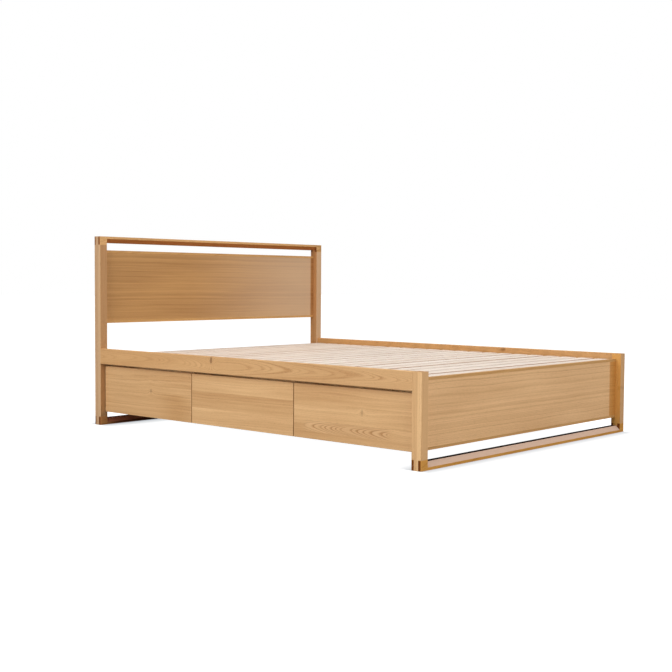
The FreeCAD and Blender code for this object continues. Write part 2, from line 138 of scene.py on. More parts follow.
def parts_of(tree, vector):
    """The X, Y and Z of a vector."""
    return add(tree, "ShaderNodeSeparateXYZ", {0: vector}).outputs


def ramp(tree, value, low, high, start=0.0, end=1.0):
    """A smooth climb from start to end as value goes from low to high."""
    return add(tree, "ShaderNodeMapRange", {0: value, 1: low, 2: high, 3: start, 4: end},
               interpolation_type="SMOOTHSTEP").outputs[0]


def blend(tree, share, first, second):
    """Share 0 gives the first colour, 1 the second."""
    return add(tree, "ShaderNodeMix", {0: share, 6: first, 7: second}, data_type="RGBA").outputs[2]


def cloud(tree, place, stretch, shift=(0, 0, 0), detail=2.0):
    """Noise from 0 to 1, with so many features to the metre along each direction."""
    moved = vector_sum(tree, "MULTIPLY_ADD", place, stretch, shift)
    return add(tree, "ShaderNodeTexNoise", {0: moved, "Scale": 1.0, "Detail": detail}).outputs[0]


def new_group(name, inputs, outputs):
    """An empty shader group with named sockets; gives the tree and its two ends."""
    tree = bpy.data.node_groups.new(name, "ShaderNodeTree")
    for label, kind, start in inputs:
        socket = tree.interface.new_socket(name=label, in_out="INPUT", socket_type=kind)
        socket.default_value = start
    for label, kind in outputs:
        tree.interface.new_socket(name=label, in_out="OUTPUT", socket_type=kind)
    return tree, tree.nodes.new("NodeGroupInput").outputs, tree.nodes.new("NodeGroupOutput").inputs


def give(tree, sockets, values):
    """Link values to sockets by name."""
    for label, value in values.items():
        tree.links.new(value, sockets[label])


def placed(tree, group, values):
    """A group in a material, and its outputs."""
    return add(tree, "ShaderNodeGroup", values, node_tree=group).outputs


def new_material(name):
    """A material, its tree and the inputs of its shader."""
    material = bpy.data.materials.new(name)
    material.use_nodes = True
    return material, material.node_tree, material.node_tree.nodes["Principled BSDF"].inputs


def surface(tree, shader, colour, rough, relief, strength, height):
    """Link a colour, a roughness and a relief to the shader."""
    lift = add(tree, "ShaderNodeBump", {"Strength": strength, "Distance": height, "Height": relief})
    give(tree, shader, {"Base Color": colour, "Roughness": rough, "Normal": lift.outputs[0]})


def shade(red, green, blue):
    """A colour as a paint chart gives it, 0 to 255, turned into the light it reflects."""
    def light(part):
        part /= 255
        return part / 12.92 if part <= 0.04045 else ((part + 0.055) / 1.055) ** 2.4
    return (light(red), light(green), light(blue), 1.0)


print("helpers ready, middle grey reflects", round(shade(128, 128, 128)[0], 3))

# %% [markdown]
# ## Knots
# A knot is the root of a branch. The year rings flow round it, and its own rings are small, dark
# and tight. It could be painted on as a brown spot, but then the grain would run straight through
# it. This group gives two things instead: how far the rings are pushed aside, and the dark heart.

# %% Knot group
WOBBLE, PUSH_FADE, HEART_RIM, HEART_CORE = 0.7, -0.16, 1.3, 0.3
knot, given, out = new_group("Knot", [
    ("Place", VECTOR, (0, 0, 0)), ("Centre", VECTOR, (0, 0, 0)), ("Radius", NUMBER, 0.01),
    ("Push", NUMBER, 0.01), ("Darkness", NUMBER, 0.8), ("Stretch", NUMBER, 0.55),
], [("Bend", NUMBER), ("Heart", NUMBER)])
near = parts_of(knot, vector_sum(knot, "SUBTRACT", given["Place"], given["Centre"]))
wavy = cloud(knot, given["Place"], (60, 60, 60), detail=1.0)
distance = root(knot, plus(knot, power(knot, times(knot, near[0], given["Stretch"]), 2.0),
                           power(knot, near[2], 2.0)))
reach = plus(knot, over(knot, distance, given["Radius"]), times(knot, minus(knot, wavy, 0.5), WOBBLE))
fall = exponent(knot, times(knot, power(knot, reach, 2.0), PUSH_FADE))
give(knot, out, {"Bend": times(knot, fall, given["Push"]),
                 "Heart": times(knot, ramp(knot, reach, HEART_RIM, HEART_CORE), given["Darkness"])})
print("knot group:", len(knot.nodes), "nodes")

# %% [markdown]
# ## Timber
# Every board was cut from a log. The log's year rings are thin tubes round its heart, and the
# figure on a board is where the saw cut through them: arches where it ran beside the heart,
# straight lines further out, and arcs on the sawn end. A flat stripe pattern can't turn a corner.
# So this group works out how far each point was from the log's heart, which makes face, edge and
# end agree. Wide boards are glued from narrower ones, and each gets its own piece of log.

# %% Timber group: the board and its own piece of log
wood, given, out = new_group("Timber", [
    ("Place", VECTOR, (0, 0, 0)), ("Facing", VECTOR, (0, 0, 1)), ("Seed", NUMBER, 0.0),
    ("Heart", VECTOR, (0, 0.06, 0)), ("Heart Spread", NUMBER, 0.0),
    ("Board Width", NUMBER, 1.0), ("Board Start", NUMBER, 0.5),
    ("Ring Gap", NUMBER, 0.0035), ("Taper", NUMBER, 0.06), ("Wander", NUMBER, 0.012),
    ("Bend", NUMBER, 0.0), ("Knot", NUMBER, 0.0),
    ("Pale", COLOUR, (0.7, 0.45, 0.22, 1)), ("Dark", COLOUR, (0.45, 0.22, 0.08, 1)),
    ("End", COLOUR, (0.2, 0.08, 0.03, 1)), ("Pore", COLOUR, (0.2, 0.09, 0.03, 1)),
    ("Figure", NUMBER, 0.5), ("Streaks", NUMBER, 0.4), ("Tint Spread", NUMBER, 0.15), ("Pores", NUMBER, 0.5),
    ("Sapwood From", NUMBER, -9.0), ("Sapwood", NUMBER, 0.0), ("Knot Tone", COLOUR, (0.08, 0.02, 0.006, 1)),
], [("Color", COLOUR), ("Roughness", NUMBER), ("Relief", NUMBER)])
place = given["Place"]
along, through, across = parts_of(wood, place)
NEXT_BOARD, LOG_JUMP = 7.31, (40, 40, 40)
count = plus(wood, over(wood, across, given["Board Width"]), given["Board Start"])
board_number = whole(wood, count)
lane = times(wood, minus(wood, leftover(wood, count), 0.5), given["Board Width"])
dice = add(wood, "ShaderNodeTexWhiteNoise", {
    "W": plus(wood, times(wood, board_number, NEXT_BOARD), given["Seed"])}, noise_dimensions="1D")
thrown = add(wood, "ShaderNodeSeparateColor", {0: dice.outputs["Color"]}).outputs
shift = vector_sum(wood, "MULTIPLY", dice.outputs["Color"], LOG_JUMP)
heart = parts_of(wood, given["Heart"])
print("a point knows its board, its lane and its log")


# %% Timber group: year rings
def from_heart(position, centre, roll):
    """A point's squared way from the heart along one axis; each glued board rolls its own heart."""
    moved = times_plus(wood, minus(wood, roll, 0.5), given["Heart Spread"], centre)
    return power(wood, minus(wood, position, moved), 2.0)


LONG_WAVES, SHORT_WAVES, SHORT_SHARE = (2.2, 9, 9), (11, 48, 48), 0.3
UNEVEN_SCALE, UNEVEN_YEARS = 0.31, 3.0
radius = root(wood, plus(wood, from_heart(through, heart[1], thrown[0]),
                         from_heart(lane, heart[2], thrown[1])))
large = minus(wood, cloud(wood, place, LONG_WAVES, shift, 1.0), 0.5)
small = minus(wood, cloud(wood, place, SHORT_WAVES, shift, 1.0), 0.5)
drift = times_plus(wood, large, 2.0, times(wood, small, SHORT_SHARE))
grown = times_plus(wood, drift, given["Wander"], radius)
grown = times_plus(wood, along, given["Taper"], grown)
grown = plus(wood, grown, given["Bend"])
years = over(wood, grown, given["Ring Gap"])
uneven = add(wood, "ShaderNodeTexNoise", {
    "W": plus(wood, years, given["Seed"]), "Scale": UNEVEN_SCALE, "Detail": 1.0},
    noise_dimensions="1D").outputs[0]
years = times_plus(wood, uneven, UNEVEN_YEARS, years)
season = leftover(wood, years)
year_tone = add(wood, "ShaderNodeTexWhiteNoise", {
    "W": plus(wood, whole(wood, years), given["Seed"])}, noise_dimensions="1D").outputs["Value"]
spring = larger(wood, ramp(wood, season, 0.0, 0.5, 1.0, 0.0), ramp(wood, season, 0.9, 1.0))
spring = times(wood, spring, times_plus(wood, year_tone, 0.6, 0.4))
print("rings wander, widen and narrow")

# %% Timber group: streaks, sapwood and pores
BANDS, FIBRES, PATCHES, PORE_LINES = 55.0, (5, 300, 300), (1.6, 9, 9), (110, 1500, 1500)
FIBRE_SHARE, PATCH_SHARE, MIDDLE_TONE = 0.7, 0.9, 0.25
SAP_BLUR, SAP_WOBBLE = 0.003, 0.01
PORE_LIMITS, WIDE_LIMITS, END_LIMITS = (0.58, 0.72), (0.5, 0.9), (0.75, 0.92)
bands = add(wood, "ShaderNodeTexNoise", {
    "W": plus(wood, times(wood, grown, BANDS), given["Seed"]), "Scale": 1.0, "Detail": 2.0},
    noise_dimensions="1D").outputs[0]
fibre = cloud(wood, place, FIBRES, shift, 2.0)
patch = cloud(wood, place, PATCHES, shift, 1.0)
streak = plus(wood, minus(wood, bands, 0.5), times(wood, minus(wood, fibre, 0.5), FIBRE_SHARE))
streak = plus(wood, streak, times(wood, minus(wood, patch, 0.5), PATCH_SHARE))
depth = times_plus(wood, spring, given["Figure"], MIDDLE_TONE)
depth = times_plus(wood, streak, given["Streaks"], depth)
depth = times_plus(wood, minus(wood, thrown[2], 0.5), given["Tint Spread"], depth)
sap = ramp(wood, plus(wood, across, times(wood, large, SAP_WOBBLE)),
           plus(wood, given["Sapwood From"], SAP_BLUR), given["Sapwood From"])
looks = parts_of(wood, given["Facing"])
sap = times(wood, sap, ramp(wood, size_of(wood, looks[1]), *WIDE_LIMITS))
depth = minus(wood, depth, times(wood, sap, given["Sapwood"]))
depth = add(wood, "ShaderNodeClamp", {0: depth}).outputs[0]
pores = ramp(wood, cloud(wood, place, PORE_LINES, shift, 0.0), *PORE_LIMITS)
pores = times(wood, pores, times_plus(wood, spring, 0.7, 0.3))
sawn_end = ramp(wood, size_of(wood, looks[0]), *END_LIMITS)
print("streaks, sapwood and pores are masks from 0 to 1")

# %% Timber group: colour, roughness and relief
END_STRENGTH = 0.90
colour = blend(wood, depth, given["Pale"], given["Dark"])
colour = blend(wood, times(wood, pores, given["Pores"]), colour, given["Pore"])
colour = blend(wood, times(wood, sawn_end, END_STRENGTH), colour, given["End"])
colour = blend(wood, given["Knot"], colour, given["Knot Tone"])
rough = times_plus(wood, fibre, 0.14, 0.42)
rough = times_plus(wood, pores, 0.15, rough)
rough = times_plus(wood, sawn_end, 0.18, rough)
relief = times_plus(wood, pores, -0.8, times(wood, fibre, 0.5))
relief = times_plus(wood, spring, -0.35, relief)
give(wood, out, {"Color": colour, "Roughness": rough, "Relief": relief})
print("timber group:", len(wood.nodes), "nodes")

# %% [markdown]
# ## Rubbed edges
# Hands and bedding rub the corners of a bed first, so its edges are a little paler and smoother
# than its faces. A bevel probe in the shader could find edges, but it is slow. A board is nearly
# a box, so the edge is simply where a point is close to two faces at once.

# %% Edge group
edges, given, out = new_group("Rubbed Edge", [
    ("Place", VECTOR, (0, 0, 0)), ("Half Size", VECTOR, (1, 1, 1)), ("Reach", NUMBER, 0.004)],
    [("Rubbed", NUMBER)])
flat = vector_sum(edges, "ABSOLUTE", given["Place"])
gap = parts_of(edges, vector_sum(edges, "SUBTRACT", given["Half Size"], flat))
middle_gap = larger(edges, smaller(edges, gap[0], gap[1]),
                    smaller(edges, larger(edges, gap[0], gap[1]), gap[2]))
broken = cloud(edges, given["Place"], (14, 14, 14), detail=3.0)
strength = ramp(edges, over(edges, middle_gap, given["Reach"]), 1.0, 0.0)
give(edges, out, {"Rubbed": times(edges, strength, ramp(edges, broken, 0.3, 0.65))})
print("edge group:", len(edges.nodes), "nodes")

# %% [markdown]
# ## Plywood edges
# The drawer boxes and partitions are birch plywood. Its faces are plain pale veneer, and its edge
# shows the layers, every second one end-on and darker. The layers could be thin solids, but they
# never part, so a group that counts them through the thickness is enough.

# %% Plywood group
layers, given, out = new_group("Plywood Edge", [
    ("Place", VECTOR, (0, 0, 0)), ("Facing", VECTOR, (0, 0, 1)), ("Layer", NUMBER, 0.0014),
    ("Color", COLOUR, (0.7, 0.5, 0.3, 1)), ("End Layer", COLOUR, (0.4, 0.25, 0.12, 1))],
    [("Color", COLOUR)])
depth_in = parts_of(layers, given["Place"])[1]
thick_way = parts_of(layers, given["Facing"])[1]
ply = leftover(layers, plus(layers, over(layers, depth_in, given["Layer"]), 0.25))
ply = ramp(layers, size_of(layers, minus(layers, ply, 0.5)), 0.2, 0.3)
on_edge = ramp(layers, size_of(layers, thick_way), 0.8, 0.4)
speck = cloud(layers, given["Place"], (700, 500, 700), detail=1.0)
dark_layer = times(layers, ply, times_plus(layers, speck, 0.5, 0.45))
give(layers, out, {"Color": blend(layers, times(layers, dark_layer, on_edge), given["Color"],
                                  given["End Layer"])})
print("plywood group:", len(layers.nodes), "nodes")

# %% [markdown]
# ## How a board lies
# The groups above want every board laid the same way: the grain along X, the thickness along Y
# and the width along Z, with the board's middle at zero. Turning the board itself would move it
# off the bed. A Mapping node turns only the pattern, and the matrix of the three directions
# gives its angles.

# %% Laying a board
AXES = {"X": Vector((1, 0, 0)), "Y": Vector((0, 1, 0)), "Z": Vector((0, 0, 1))}


class Lay:
    """Where a board is and which way its grain and its width run."""

    def __init__(self, low, high, grain, width):
        grain, width = AXES[grain], AXES[width]
        self.turn = Matrix((grain, width.cross(grain), width))
        self.middle = (low + high) / 2
        half = self.turn @ ((high - low) / 2)
        self.half = Vector(abs(part) for part in half)

    def inside(self, point):
        """A point of the bed, seen from the board."""
        return self.turn @ (Vector(point) - self.middle)


def laid_pattern(tree, lay):
    """The board's own place and facing, from the object's coordinates."""
    source = add(tree, "ShaderNodeTexCoord")
    angles = lay.turn.to_euler()
    place = add(tree, "ShaderNodeMapping", {"Vector": source.outputs["Object"], "Rotation": angles,
                                            "Location": -(lay.turn @ lay.middle)}, vector_type="POINT")
    facing = add(tree, "ShaderNodeMapping", {"Vector": source.outputs["Normal"], "Rotation": angles},
                 vector_type="VECTOR")
    return place.outputs[0], facing.outputs[0]


post = Lay(*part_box("foot_post_left"), "Z", "Y")
print("a post's pattern turns by", [round(math.degrees(angle)) for angle in post.turn.to_euler()])

# %% [markdown]
# ## Finishes
# The bed uses solid oak, oak veneer, pine, birch plywood, waxed beech and zinc plated steel. Each
# wood is a set of values for the groups. One material could serve every oak board, but then all
# would show the same log, so each board gets a material and a seed of its own.

# %% Finish values
OAK = {
    "Pale": shade(230, 188, 136), "Dark": shade(172, 118, 64), "End": shade(176, 128, 78),
    "Pore": shade(124, 80, 42), "Figure": 0.34, "Streaks": 0.45, "Tint Spread": 0.2, "Pores": 0.45,
    "Ring Gap": 0.0036, "Taper": 0.05, "Wander": 0.012,
}
VENEER = dict(OAK, **{
    "Pale": shade(241, 197, 144), "Dark": shade(180, 128, 74), "Heart": (0, 0.10, -0.9), "Taper": 0.004,
    "Ring Gap": 0.0050, "Wander": 0.008, "Figure": 0.28, "Streaks": 0.52,
})
HEAD_VENEER = dict(VENEER, **{"Pale": shade(190, 143, 86), "Dark": shade(128, 81, 38), "Streaks": 0.66})
PINE = {
    "Pale": shade(240, 229, 219), "Dark": shade(202, 178, 156), "End": shade(190, 148, 104),
    "Pore": shade(206, 176, 140), "Figure": 0.26, "Streaks": 0.30, "Tint Spread": 0.2, "Pores": 0.1,
    "Ring Gap": 0.0050, "Taper": 0.03, "Wander": 0.008,
}
BIRCH = {
    "Pale": shade(236, 212, 176), "Dark": shade(206, 172, 128), "End": shade(170, 128, 84),
    "Pore": shade(190, 150, 104), "Figure": 0.25, "Streaks": 0.45, "Tint Spread": 0.2, "Pores": 0.1,
    "Ring Gap": 0.011, "Taper": 0.05, "Wander": 0.03,
}
BEECH = {
    "Pale": shade(222, 178, 136), "Dark": shade(186, 132, 92), "End": shade(140, 88, 56),
    "Pore": shade(150, 98, 62), "Figure": 0.2, "Streaks": 0.35, "Tint Spread": 0.2, "Pores": 0.3,
    "Ring Gap": 0.0030, "Taper": 0.02, "Wander": 0.006,
}
print("finishes: oak, veneer, pine, birch, beech")

# %% Masks on a board
FACING_LIMITS = (0.90, 0.97)


def within(tree, place, one_corner, other_corner, soft):
    """1 inside a stretch of the board's face and 0 outside, with soft edges along and across."""
    share = 1.0
    parts = parts_of(tree, place)
    for axis, edge in zip((0, 2), soft):
        low, high = sorted((one_corner[axis], other_corner[axis]))
        inside = times(tree, ramp(tree, parts[axis], low - edge, low + edge),
                       ramp(tree, parts[axis], high + edge, high - edge))
        share = times(tree, inside, share)
    return share


def facing_share(tree, direction, facing, share):
    """Share where the surface looks that way, else 0; a share given by name is an attribute."""
    if isinstance(share, str):
        share = add(tree, "ShaderNodeAttribute", attribute_name=share).outputs["Fac"]
    match = add(tree, "ShaderNodeVectorMath", {0: facing, 1: direction}, operation="DOT_PRODUCT")
    return ramp(tree, match.outputs["Value"], *FACING_LIMITS, 0.0, share)


print("masks by place and by facing ready")

# %% [markdown]
# A board's material is built in layers, in order. First the log gives its rings, bent round any
# knots. A fade along the board's length is a painted sheen on the headboard panels, paler towards
# the right-hand post, and a plain warmer drift towards the head on the side rails. Some inlays are
# stretches from another part of the log, and the others paint shade beside a far post and under
# the bed. Then come the rubbed edges, the layers of plywood, and last painted light and shade on
# faces that look one way.

# %% Wooden material
RUBBED, GLOSS, RELIEF_DEPTH = 0.30, 0.35, 0.0008
FADE_FROM, POLISH = -0.4, -0.15


def wooden(name, lay, finish, seed, knots=(), plywood=None, bump=0.18, rub=RUBBED, faces=(), fade=None,
           inlays=(), gloss=GLOSS):
    """The material of one board: timber, knots, colour drift and painted sheen, inlays and painted
    shade, the layers of plywood, rubbed edges, and painted light and shade on chosen faces.
    """
    material, tree, shader = new_material(name)
    shader["Specular IOR Level"].default_value = gloss
    place, facing = laid_pattern(tree, lay)
    bend, dark_heart = 0.0, 0.0
    for centre, radius, push, darkness, stretch in knots:
        one = placed(tree, knot, {"Place": place, "Centre": lay.inside(centre), "Radius": radius,
                                  "Push": push, "Darkness": darkness, "Stretch": stretch})
        bend = plus(tree, one["Bend"], bend)
        dark_heart = larger(tree, one["Heart"], dark_heart)
    log = dict(finish, Seed=seed, Place=place, Facing=facing, Bend=bend, Knot=dark_heart)
    grain = placed(tree, wood, log)
    colour, relief = grain["Color"], grain["Relief"]
    # Painted sheen on the headboard panels and a warmer drift on the side rails, growing along the board.
    if fade:
        along_board = parts_of(tree, place)[0]
        colour = blend(tree, ramp(tree, along_board, FADE_FROM * lay.half.x, lay.half.x, 0.0, fade[1]),
                       colour, fade[0])
    # Inlays: some are stretches from another part of the log, the others are stretches of painted shade.
    for low, high, soft, other_log in inlays:
        other = placed(tree, wood, {**log, **other_log})
        share = within(tree, place, lay.inside(low), lay.inside(high), soft)
        colour = blend(tree, share, colour, other["Color"])
        relief = add(tree, "ShaderNodeMix", {0: share, 2: relief, 3: other["Relief"]}).outputs[0]
    if plywood:
        colour = placed(tree, layers, {"Place": place, "Facing": facing, "Layer": plywood,
                                       "Color": colour, "End Layer": finish["End"]})["Color"]
    worn = times(tree, placed(tree, edges, {"Place": place, "Half Size": lay.half})["Rubbed"], rub)
    colour = blend(tree, worn, colour, finish["Pale"])
    # Last, painted light and shade: each listed face is blended toward its tone where it looks that way.
    for direction, tone, share in faces:
        turned = lay.turn @ Vector(direction).normalized()
        colour = blend(tree, facing_share(tree, turned, facing, share), colour, tone)
    rough = times_plus(tree, worn, POLISH, grain["Roughness"])
    surface(tree, shader, colour, rough, relief, bump, RELIEF_DEPTH)
    return material


def dress(node, material):
    """Put a material on a CAD board, on every slot that it has."""
    board = frame["nodes"][node]
    if not board.material_slots:
        board.data.materials.append(None)
    for place_for in board.material_slots:
        place_for.material = material
    dressed.add(node)


def dress_board(node, grain, width, finish, seed, **extra):
    """A board whose grain and width run along the given directions."""
    dress(node, wooden(node + "_timber", Lay(*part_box(node), grain, width), finish, seed, **extra))


dressed = set()
print("wooden materials can be made")

# %% [markdown]
# ## Posts and rails
# The posts stand, so their grain runs up. The cross rails run from side to side and the side
# rails along the bed. All are sawn from solid oak beside the heart, which is why the wide faces
# show arches. Each post has a list of faces with a tone and a strength, which paint light and
# shade: a face is lightened or darkened by how the light falls on it, and the far posts' inner
# faces get orange bounced light. A post's pale outer edge is sapwood, from just under the bark.

# %% Solid oak posts
POST_SEED, CROSS_SEED, SIDE_SEED = 3.0, 13.0, 21.0
# Painted shade with orange bounced light, for the inner face of the far head post.
PAINTED_INNER_SHADE = ((-1, 0, 0), shade(166, 106, 50), 0.7)
# Painted light and shade on each post's faces, by how the light falls on them.
POST_PAINTED_FACES = {
    "foot_post_left": (((0, -1, 0), shade(222, 176, 122), 0.4),),
    "foot_post_right": (((-1, 0, 0), shade(216, 158, 78), 0.9), ((0, -1, 0), shade(178, 128, 78), 0.45)),
    "head_post_left": (((0, -1, 0), shade(158, 112, 68), 0.7), ((-1, 0, 0), shade(179, 146, 119), 0.5)),
    "head_post_right": (((0, -1, 0), shade(186, 152, 122), 0.6), PAINTED_INNER_SHADE),
}
POST_KNOTS = {"foot_post_right": [((0.787, -1.0422, 0.2198), 0.0075, 0.006, 1.0, 0.6)]}
POST_LOG = dict(OAK, **{"Figure": 0.26, "Wander": 0.006, "Taper": 0.02, "Sapwood": 0.42,
                        "Heart": (0, 0.07, 0.06), "Sapwood From": -0.006})
for number, (node, faces) in enumerate(POST_PAINTED_FACES.items()):
    dress_board(node, "Z", "Y", POST_LOG, POST_SEED + number, knots=POST_KNOTS.get(node, ()), faces=faces)
print("posts:", len(POST_PAINTED_FACES))

# %% [markdown]
# The floor rails have a broad chamfer along the top of their outer face. On the foot rail the
# chamfer is painted paler and pinker, as painted light where it faces up into the light, and the
# flat top behind it, close under the panel, is painted near black as painted shade. The head's
# floor rail lies in the shade under the bed, and its colours are painted shade: its tones are
# darker than the foot rail's, its chamfer and flat top get tones matched to how they look in that
# shade, and its stretch between the posts is painted darker and browner. The top rail's chamfer,
# which looks down, is painted a darker orange as painted shade. Each rail rolls its own heart
# from a fixed seed, so no two look alike and every run gives the same bed.

# %% Cross rails
# Painted shade: the foot floor rail's flat top, close under the panel, is painted near black.
PAINTED_SHADE_TOP = ((0, 0, 1), shade(40, 15, 7), 1.0)
CROSS_RAILS = {
    # Painted light: the foot rail's chamfer, which faces up into the light, is painted paler and pinker.
    "foot_floor_rail": ([((0, -1, 1), shade(212, 186, 170), 0.85), PAINTED_SHADE_TOP],
                        shade(222, 164, 86), shade(166, 107, 40), shade(96, 44, 16)),
    # Painted shade: the head rail's tones, chamfer and flat top are matched to the shade under the bed.
    "head_floor_rail": ([((0, -1, 1), shade(176, 108, 78), 0.95), ((0, 0, 1), shade(90, 50, 34), 1.0)],
                        shade(200, 142, 86), shade(142, 88, 46), shade(100, 50, 22)),
    # Painted shade: the top rail's chamfer, which looks down, is painted a darker orange.
    "head_top_rail": ([((0, -1, -1), shade(160, 88, 34), 0.8)],
                      shade(226, 181, 126), shade(162, 114, 64), shade(124, 70, 34)),
}
# Painted shade: the head floor rail is painted darker and browner between its posts, under the bed.
UNDER_BED_SHADE = {
    "head_floor_rail": [((-0.76, 1.03, -0.01), (0.76, 1.03, 0.06), (0.05, 0.004),
                         {"Pale": shade(140, 88, 62), "Dark": shade(96, 54, 34)})],
}
HEART_AWAY, HEART_ASIDE, RAIL_GLOSS = 0.06, 0.03, 0.02
rolls = random.Random(11)


def heart_for(away, aside):
    """A heart behind the board's face, a bit to one side."""
    return (0.0, rolls.choice((-1, 1)) * rolls.uniform(away * 0.8, away * 1.3), rolls.uniform(-aside, aside))


for number, (node, (faces, pale, dark, end)) in enumerate(CROSS_RAILS.items()):
    log = dict(OAK, Heart=heart_for(HEART_AWAY, HEART_ASIDE), Pale=pale, Dark=dark, End=end,
               Figure=0.28, Wander=0.006)
    dress_board(node, "X", "Z", log, CROSS_SEED + number, faces=faces, gloss=RAIL_GLOSS,
                inlays=UNDER_BED_SHADE.get(node, ()))
print("cross rails:", len(CROSS_RAILS))

# %% [markdown]
# Each side rail has knots on its left face. A knot is given by its centre, its radius, how far it
# pushes the rings, how dark its heart is, and how many times shorter it is along the grain.

# %% Side rails
SIDE_KNOTS = {
    "side_rail_left": [((-0.830, 0.1662, 0.3740), 0.0170, 0.016, 0.70, 2.2),
                       ((-0.830, 0.1500, 0.3760), 0.0300, 0.008, 0.0, 0.55)],
    "side_rail_right": [((0.802, -0.3487, 0.3785), 0.0100, 0.012, 1.0, 0.5)],
}
# Painted bounce light: the far side rail's inner face is tinted orange.
SIDE_PAINTED_BOUNCE = {"side_rail_right": [((-1, 0, 0), shade(182, 130, 72), 0.6)]}
SIDE_LOG = dict(OAK, Heart=(0, 0.050, 0.004), Taper=-0.045, Wander=0.009, Figure=0.34)
# Each side rail drifts to a warmer colour towards the head.
for number, (node, knots) in enumerate(SIDE_KNOTS.items()):
    dress_board(node, "Y", "Z", SIDE_LOG, SIDE_SEED + number, knots=knots,
                fade=(shade(204, 150, 90), 0.35), faces=SIDE_PAINTED_BOUNCE.get(node, ()))
print("solid oak boards:", len(dressed))

# %% [markdown]
# ## Panels and lippings
# The foot and the headboard are boards faced with oak veneer. Veneer for a plain panel is cut
# with the rings standing on edge, so the grain is a field of fine straight lines from side to
# side. The heart is put far below the panel, and the same group then draws those lines. Beside
# the far post an inlay paints the post's shadow on the panel, orange with light bounced in the
# corner, and the headboard panels get a painted sheen towards the right-hand post. The lippings
# are narrow strips of solid oak.

# %% Veneered panels
# The headboard panels get a painted sheen: paler and pinker towards the right-hand post.
PANEL_SEED, LIPPING_SEED, PAINTED_SHEEN = 31.0, 41.0, (shade(210, 180, 150), 0.6)
# The foot panel and the upper headboard panel get an inlay of painted shadow beside the far post.
PANELS = {
    "foot_panel": (VENEER, None, [((0.726, -1.03, 0), (0.9, -1.03, 0.5), (0.004, 0.1),
                                   {"Pale": shade(210, 148, 74), "Dark": shade(172, 112, 46)})]),
    "head_lower_panel": (HEAD_VENEER, PAINTED_SHEEN, ()),
    "head_upper_panel": (HEAD_VENEER, PAINTED_SHEEN, [
        ((0.763, 1.03, 0.4), (0.9, 1.03, 1.0), (0.003, 0.1),
         {"Pale": shade(178, 126, 74), "Dark": shade(132, 82, 38)})]),
}
STRIPS = dict(OAK, Heart=(0, 0.05, 0.2), Pale=shade(208, 160, 98), Dark=shade(160, 108, 50))
for number, (node, (leaf, fade, post_shadow)) in enumerate(PANELS.items()):
    dress_board(node, "X", "Z", leaf, PANEL_SEED + number, bump=0.12, rub=0.0, fade=fade, inlays=post_shadow)
    dress_board(node + "_lippings", "X", "Z", STRIPS, LIPPING_SEED + number, bump=0.12, rub=0.1)
print("panels:", list(PANELS))

# %% [markdown]
# ## Drawers
# A drawer front is three oak boards glued edge to edge, with the grain along the bed. Each board
# has its own arches and its own tint, which tells solid wood from veneer. One board of the first
# drawer was sawn close to the heart, so an inlay gives it tall arches, and part of the third is
# darker. Behind the front, the box is birch plywood with a thin bottom.

# %% Drawer fronts and boxes
FRONT_BOARD, PLY = 0.078, 0.0014
FRONT_SEED, FRONT_STEP, BOX_SEED, BOX_STEP = 51.0, 1.7, 71.0, 4.1
FRONT = dict(OAK, **{"Board Width": FRONT_BOARD, "Heart": (0, 0.06, 0.09), "Heart Spread": 0.07,
                     "Taper": -0.012, "Wander": 0.016, "Figure": 0.18, "Streaks": 0.68, "Tint Spread": 0.16})
ARCHES = {"Seed": 3.0, "Board Width": 1.0, "Heart": (0, -0.011, -0.061), "Heart Spread": 0.0, "Taper": 0.10,
          "Figure": 0.6, "Streaks": 0.3, "Wander": 0.004, "Ring Gap": 0.0036, "Pale": shade(236, 196, 146)}
DARKER = {"Pale": shade(216, 170, 116), "Dark": shade(160, 108, 57)}
FRONT_INLAYS = {
    "drawer_left_1": [((-0.802, -0.86, 0.099), (-0.802, -0.40, 0.147), (0.03, 0.0006), ARCHES)],
    "drawer_left_3": [((-0.802, 0.36, 0.05), (-0.802, 0.52, 0.19), (0.11, 0.0006), DARKER)],
}
FRONT_KNOTS = {
    "drawer_left_1": [((-0.802, -0.7227, 0.2013), 0.0160, 0.010, 0.26, 2.4)],
    "drawer_left_3": [((-0.802, 0.6335, 0.1977), 0.0130, 0.012, 0.34, 1.5)],
}
BOX = {"_foot_side": ("X", "Z"), "_head_side": ("X", "Z"), "_back": ("Y", "Z"), "_bottom": ("X", "Y")}
BODIES = [body for body in frame["bodies"] if body.startswith("drawer_")]
for number, body in enumerate(BODIES):
    dress_board(body + "_front", "Y", "Z", FRONT, FRONT_SEED + number * FRONT_STEP,
                knots=FRONT_KNOTS.get(body, ()), inlays=FRONT_INLAYS.get(body, ()))
    for part, (grain, width) in BOX.items():
        dress_board(body + part, grain, width, BIRCH, BOX_SEED + number * BOX_STEP + len(part),
                    plywood=PLY, bump=0.1)
print("drawers:", len(BODIES))

# %% [markdown]
# ## The carcass under the slats
# Four plywood partitions cross the bed and one spine runs down its middle. Two short pine legs
# stand under the spine, pine ledgers carry the slats, and beech runners carry the drawers.
# Little of this shows unless a drawer is out.

# %% Partitions, spine, legs, ledgers and runners
INNER_SEED, INNER_STEP = 101.0, 2.3
INNER = {f"partition_{bay}": ("X", "Z", BIRCH, PLY) for bay in (1, 2, 3, 4)}
INNER.update({
    "centre_spine": ("Y", "Z", BIRCH, PLY), "centre_leg_foot": ("Z", "Y", PINE, None),
    "centre_leg_head": ("Z", "Y", PINE, None), "slat_ledger_left": ("Y", "Z", PINE, None),
    "slat_ledger_right": ("Y", "Z", PINE, None), "drawer_runners": ("X", "Z", BEECH, None),
    "panel_dowels": ("X", "Z", BEECH, None),
})
for number, (node, (grain, width, finish, ply_gap)) in enumerate(INNER.items()):
    dress_board(node, grain, width, finish, INNER_SEED + number * INNER_STEP, plywood=ply_gap, bump=0.1,
                rub=0.15)
print("inner pieces:", len(INNER))

